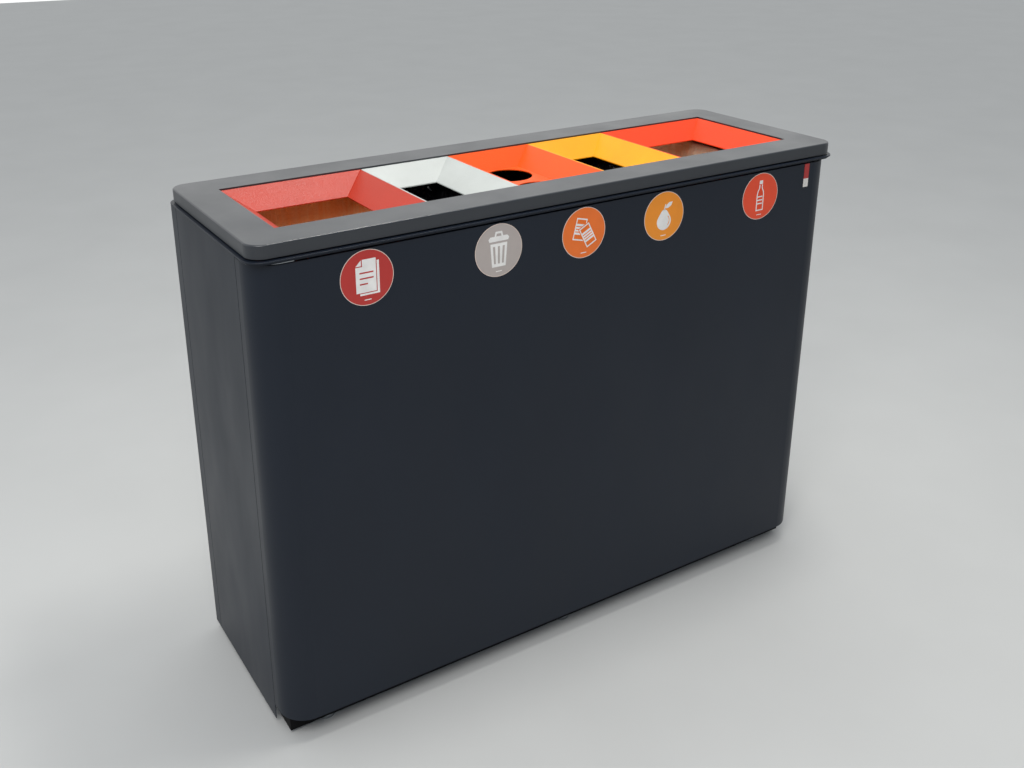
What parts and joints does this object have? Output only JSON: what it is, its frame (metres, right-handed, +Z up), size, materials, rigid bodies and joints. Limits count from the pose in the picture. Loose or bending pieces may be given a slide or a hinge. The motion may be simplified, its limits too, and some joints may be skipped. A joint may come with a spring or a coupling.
{
  "type": "recycling bin station",
  "caption": "Long steel cabinet with coloured drop chutes in a hinged top frame, liner bags on wire hoops inside and a side-hung front door for emptying it.",
  "frame": {"origin": "on the floor at the middle of the footprint", "axes": "+X along the length, to the right seen from the front; the front faces -Y; +Z up"},
  "size_m": [1.333, 0.443, 1],
  "materials": {
    "casing_anthracite": "satin powder coat",
    "casing_black": "matt powder coat",
    "zinc_steel": "zinc plated",
    "bright_steel": "bright",
    "nylon_white": "matt",
    "magnet_black": "matt",
    "rubber_black": "matt",
    "chute_red_orange": "textured powder coat",
    "chute_white": "textured powder coat",
    "chute_orange": "textured powder coat",
    "chute_yellow": "textured powder coat",
    "chute_bright_orange": "textured powder coat",
    "film_orange_brown": "translucent film",
    "film_black": "glossy film",
    "film_dark": "glossy film",
    "film_clear": "clear film",
    "print_red": "printed vinyl",
    "print_grey": "printed vinyl",
    "print_orange": "printed vinyl",
    "print_amber": "printed vinyl",
    "print_bright_orange": "printed vinyl"
  },
  "bodies": {
    "cabinet": {"back_panel": "casing_anthracite", "left_side_panel": "casing_anthracite", "right_side_panel": "casing_anthracite", "top_collar": "casing_anthracite", "collar_hinge_leaves": "casing_anthracite", "plinth": "casing_black", "base_tray": "casing_black", "corner_posts": "zinc_steel", "post_packers": "zinc_steel", "collar_screws": "zinc_steel", "foot_nuts": "zinc_steel", "pivot_plate": "zinc_steel", "front_rail": "zinc_steel", "rear_rail": "zinc_steel", "levelling_feet": "zinc_steel", "top_pivot_pin": "bright_steel", "bottom_pivot_pin": "bright_steel", "lid_hinge_pins": "bright_steel", "hoop_paper": "bright_steel", "hoop_residual": "bright_steel", "hoop_cups": "bright_steel", "hoop_organic": "bright_steel", "hoop_plastic": "bright_steel", "thrust_washer": "nylon_white", "magnet_catches": "magnet_black", "lid_buffers": "rubber_black", "bag_paper": "film_orange_brown", "bag_residual": "film_black", "bag_cups": "film_dark", "bag_organic": "film_black", "bag_plastic": "film_clear"},
    "door": {"door_skin": "casing_anthracite", "door_stiffeners": "zinc_steel", "pivot_bushes": "nylon_white", "strike_angles": "zinc_steel", "sticker_paper": "print_red", "sticker_residual": "print_grey", "sticker_cups": "print_orange", "sticker_organic": "print_amber", "sticker_plastic": "print_bright_orange", "door_tag": "print_red"},
    "lid": {"lid_frame": "casing_anthracite", "chute_paper": "chute_red_orange", "chute_residual": "chute_white", "chute_cups": "chute_orange", "chute_organic": "chute_yellow", "chute_plastic": "chute_bright_orange", "chute_rivets": "bright_steel", "lid_hinge_leaves": "casing_anthracite"}
  },
  "joints": [
    {"name": "door_hinge", "type": "hinge", "parent": "cabinet", "child": "door", "pos_m": [-0.632, -0.187, 0.506], "axis": [0, 0, -1], "range_deg": [0, 110]},
    {"name": "lid_hinge", "type": "hinge", "parent": "cabinet", "child": "lid", "pos_m": [0, 0.2184, 0.9765], "axis": [-1, 0, 0], "range_deg": [0, 80]}
  ]
}
